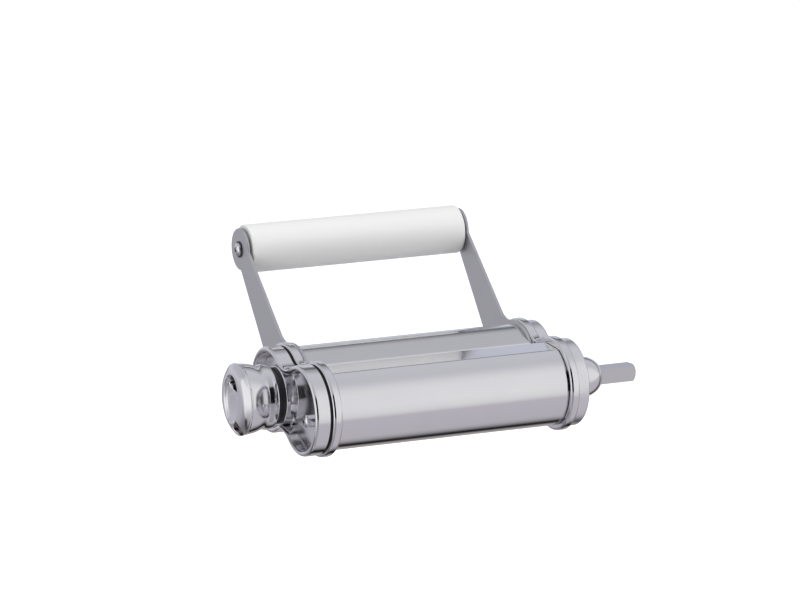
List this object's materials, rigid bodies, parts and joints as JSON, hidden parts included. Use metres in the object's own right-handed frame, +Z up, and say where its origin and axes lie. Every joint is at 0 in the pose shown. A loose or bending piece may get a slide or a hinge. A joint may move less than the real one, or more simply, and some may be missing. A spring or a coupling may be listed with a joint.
{
  "type": "pasta sheet roller",
  "caption": "Two-roller pasta sheeter with a polished two-lobed housing, pull-and-turn thickness knob, drive nose with square shank, and swinging arms carrying a support roller.",
  "frame": {"origin": "centre of the drive nose at the seat face of its collar", "axes": "+X along the drive axis and the rollers, out of the nose; +Y to the rear, from the drive roller to the adjustable roller; +Z up"},
  "size_m": [0.2535, 0.1756, 0.1074],
  "materials": {
    "polished_chrome": "mirror polished",
    "bright_screws": "polished",
    "brushed_steel": "fine brushed",
    "ground_steel": "ground and polished",
    "plain_steel": "plain",
    "bearing_bronze": "machined",
    "black_plastic": "satin",
    "black_rubber": "matt",
    "white_plastic": "satin"
  },
  "bodies": {
    "housing": {"left_side_frame": "polished_chrome", "right_side_frame": "polished_chrome", "left_arm_retainer": "brushed_steel", "right_arm_retainer": "brushed_steel", "front_cover": "polished_chrome", "rear_cover": "polished_chrome", "front_scraper": "black_plastic", "rear_scraper": "black_plastic", "tie_rods": "ground_steel", "left_rod_screws": "plain_steel", "right_rod_screws": "plain_steel", "left_drive_bush": "bearing_bronze", "right_drive_bush": "bearing_bronze", "left_gasket": "black_rubber", "right_gasket": "black_rubber", "left_end_cap": "polished_chrome", "right_end_cap": "polished_chrome", "left_cap_screws": "bright_screws", "right_cap_screws": "bright_screws", "drive_nose": "polished_chrome", "locating_pin": "ground_steel", "knob_bush": "bearing_bronze", "index_ring": "black_plastic"},
    "drive_roller_set": {"drive_roller": "ground_steel", "retaining_clip": "plain_steel", "drive_gear": "plain_steel"},
    "carriage": {"left_bearing_block": "bearing_bronze", "right_bearing_block": "bearing_bronze", "carriage_bar": "ground_steel", "follower_pin": "ground_steel"},
    "adjustable_roller_set": {"adjustable_roller": "ground_steel", "driven_gear": "plain_steel"},
    "setting_scroll": {"scroll_shaft": "ground_steel", "knob_washer": "plain_steel", "knob_screw": "plain_steel", "knob_spring": "plain_steel"},
    "knob": {"thickness_knob": "polished_chrome", "knob_face": "polished_chrome"},
    "support_frame": {"left_support_arm": "brushed_steel", "right_support_arm": "brushed_steel", "support_axle": "ground_steel", "left_arm_screw": "bright_screws", "right_arm_screw": "bright_screws", "left_arm_washer": "black_plastic", "right_arm_washer": "black_plastic"},
    "support_roller_set": {"support_roller": "white_plastic", "left_roller_plug": "white_plastic", "right_roller_plug": "white_plastic"}
  },
  "joints": [
    {"name": "drive_spin", "type": "hinge", "parent": "housing", "child": "drive_roller_set", "pos_m": [0, 0, 0], "axis": [1, 0, 0], "continuous": true},
    {"name": "nip_adjust", "type": "slide", "parent": "housing", "child": "carriage", "axis": [0, 1, 0], "range_m": [0, 0.0024]},
    {"name": "press_spin", "type": "hinge", "parent": "carriage", "child": "adjustable_roller_set", "pos_m": [-0.0907, 0.028, 0], "axis": [1, 0, 0], "continuous": true},
    {"name": "knob_turn", "type": "hinge", "parent": "housing", "child": "setting_scroll", "pos_m": [-0.1877, 0.028, 0], "axis": [1, 0, 0], "range_deg": [0, 252]},
    {"name": "knob_pull", "type": "slide", "parent": "setting_scroll", "child": "knob", "axis": [-1, 0, 0], "range_m": [0, 0.0035], "stiffness_N_per_m": 600, "springref_m": -0.006, "deforming": ["knob_spring"]},
    {"name": "arm_swing", "type": "hinge", "parent": "housing", "child": "support_frame", "pos_m": [-0.0907, 0.0402, 0], "axis": [1, 0, 0], "range_deg": [-36.6, 55.4]},
    {"name": "support_spin", "type": "hinge", "parent": "support_frame", "child": "support_roller_set", "pos_m": [-0.0907, 0.12594, 0.06368], "axis": [1, 0, 0], "continuous": true}
  ],
  "couplings": [
    {"joint": "press_spin", "follows": "drive_spin", "ratio": -1},
    {"joint": "knob_turn", "follows": "nip_adjust", "rad_per_m": 1832.4}
  ]
}
